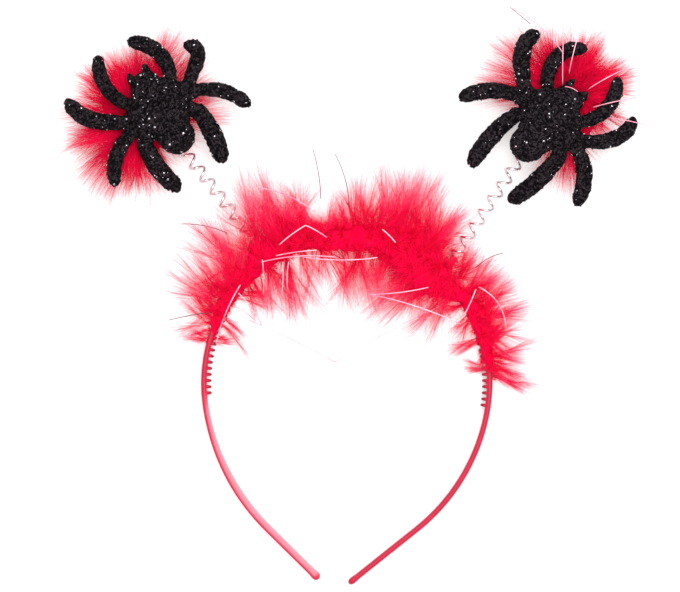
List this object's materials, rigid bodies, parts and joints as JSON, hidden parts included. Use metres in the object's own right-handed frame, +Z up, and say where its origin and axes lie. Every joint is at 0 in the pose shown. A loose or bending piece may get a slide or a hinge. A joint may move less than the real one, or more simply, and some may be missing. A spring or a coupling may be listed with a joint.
{
  "type": "spider headband",
  "caption": "Costume hair band with comb teeth under a red feather boa, carrying glitter spiders over feather puffs that bob on coil springs.",
  "frame": {"origin": "on the floor under the middle of the whole headband as it lies flat", "axes": "+X across the head, to the right in the picture; +Y from the open ends towards the crown; +Z up off the floor, towards the spiders' backs"},
  "size_m": [0.2564, 0.2484, 0.0344],
  "materials": {
    "band_plastic": "moulded red polystyrene, glossy",
    "feather_down": "dyed red marabou down with paler tips",
    "spring_steel": "nickel-plated spring wire",
    "spider_glitter": "black foam coated in black glitter"
  },
  "bodies": {
    "headband": {"band": "band_plastic", "feather_boa": "feather_down"},
    "bopper_left": {"spring_left": "spring_steel", "spider_left": "spider_glitter", "feather_puff_left": "feather_down"},
    "bopper_right": {"spring_right": "spring_steel", "spider_right": "spider_glitter", "feather_puff_right": "feather_down"}
  },
  "joints": [
    {"name": "sway_left", "type": "hinge", "parent": "headband", "child": "bopper_left", "pos_m": [-0.0473, 0.0368, 0.006], "axis": [0, 0, 1], "range_deg": [-25, 25], "stiffness_Nm_per_rad": 0.02, "deforming": ["spring_left"]},
    {"name": "sway_right", "type": "hinge", "parent": "headband", "child": "bopper_right", "pos_m": [0.0556, 0.0316, 0.006], "axis": [0, 0, 1], "range_deg": [-25, 25], "stiffness_Nm_per_rad": 0.02, "deforming": ["spring_right"]}
  ]
}
